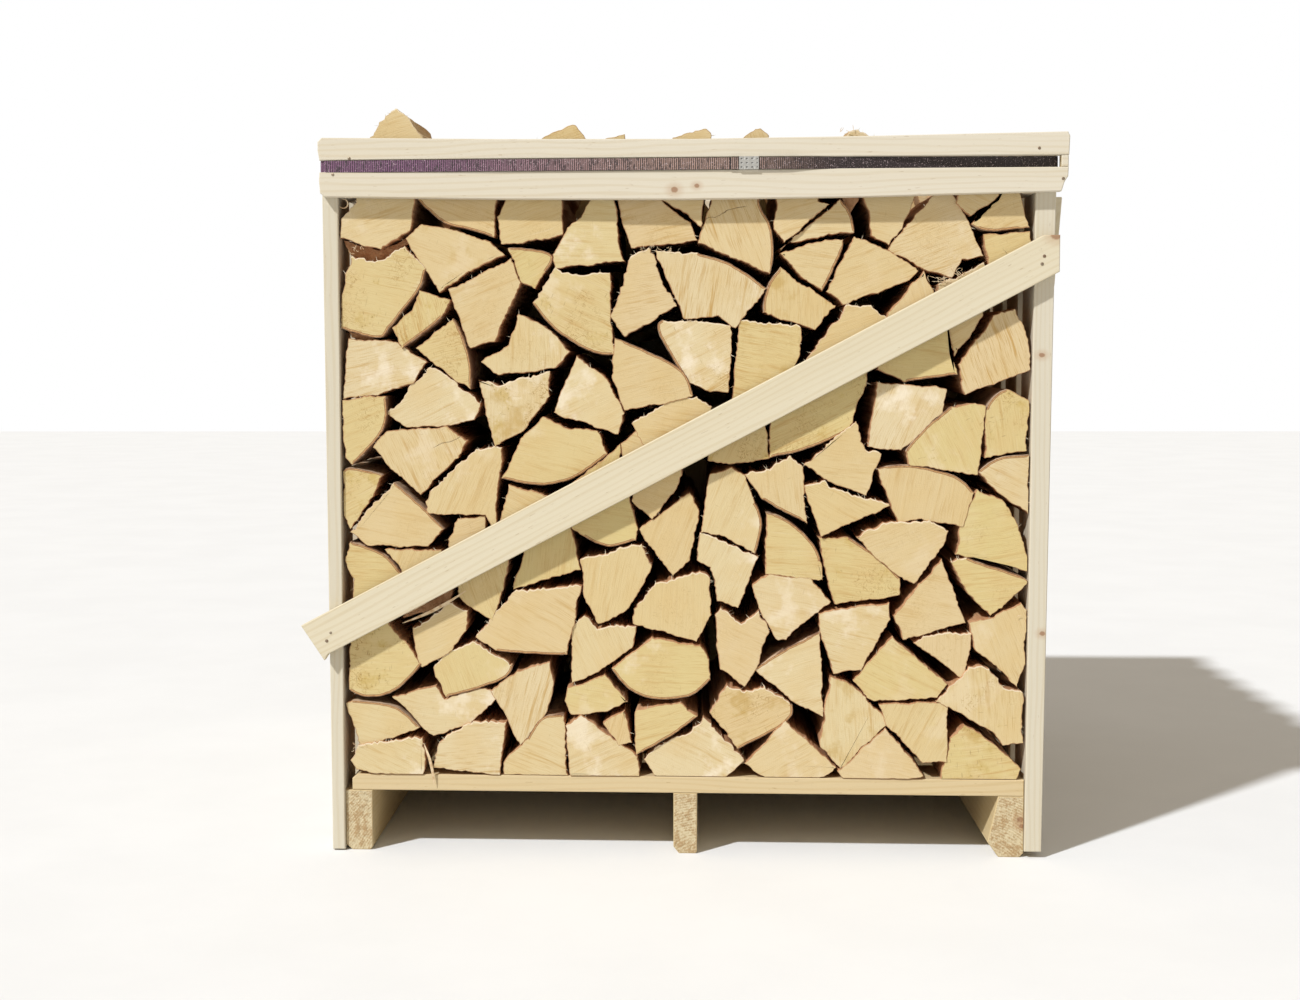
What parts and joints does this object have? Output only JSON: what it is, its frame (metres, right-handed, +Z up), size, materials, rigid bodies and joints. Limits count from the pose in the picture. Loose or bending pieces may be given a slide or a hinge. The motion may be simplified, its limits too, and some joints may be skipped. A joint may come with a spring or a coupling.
{
  "type": "filled firewood crate",
  "caption": "Slatted wooden crate on three bearers, stacked full of split firewood, with a diagonal brace across the front and a plastic strap sealed round the top.",
  "frame": {"origin": "on the floor under the centre bearer, midway between the two side walls and midway from front to back", "axes": "+X to the viewer's right along the top rails, +Y from the front to the back along the logs, +Z up"},
  "size_m": [1.1087, 1.0417, 1.094],
  "materials": {
    "bearer_wood": "rough sawn softwood",
    "deck_wood": "rough sawn softwood",
    "slat_wood": "pale sawn softwood, bleached by the sun",
    "rail_wood": "pale sawn softwood",
    "brace_wood": "pale sawn softwood",
    "strap": "ribbed plastic band, dark purple-grey",
    "seal_steel": "crimped galvanised steel",
    "nail_steel": "dull nail heads",
    "log_end": "sawn end grain of dry birch",
    "log_split": "split face with long torn grain",
    "log_bark": "birch bark, papery outside and orange-brown inside",
    "splinter": "torn wood fibres and slivers"
  },
  "bodies": {
    "root": {"bearer_left": "bearer_wood", "bearer_centre": "bearer_wood", "bearer_right": "bearer_wood", "deck_board_1": "deck_wood", "deck_board_2": "deck_wood", "deck_board_3": "deck_wood", "deck_board_4": "deck_wood", "deck_board_5": "deck_wood", "deck_board_6": "deck_wood", "deck_board_7": "deck_wood", "slat_left_1": "slat_wood", "slat_left_2": "slat_wood", "slat_left_3": "slat_wood", "slat_left_4": "slat_wood", "slat_left_5": "slat_wood", "slat_left_6": "slat_wood", "slat_left_7": "slat_wood", "slat_left_8": "slat_wood", "slat_right_1": "slat_wood", "slat_right_2": "slat_wood", "slat_right_3": "slat_wood", "slat_right_4": "slat_wood", "slat_right_5": "slat_wood", "slat_right_6": "slat_wood", "slat_right_7": "slat_wood", "slat_right_8": "slat_wood", "side_rail_left_lower": "rail_wood", "side_rail_left_upper": "rail_wood", "side_rail_right_lower": "rail_wood", "side_rail_right_upper": "rail_wood", "front_rail_upper": "rail_wood", "front_rail_lower": "rail_wood", "back_rail_upper": "rail_wood", "back_rail_lower": "rail_wood", "front_brace": "brace_wood", "back_brace": "brace_wood", "left_brace": "brace_wood", "right_brace": "brace_wood", "rail_block": "rail_wood", "strap": "strap", "strap_seal": "seal_steel", "firewood_rank_1": "log_end", "firewood_rank_2": "log_end", "firewood_rank_3": "log_end"}
  },
  "joints": []
}
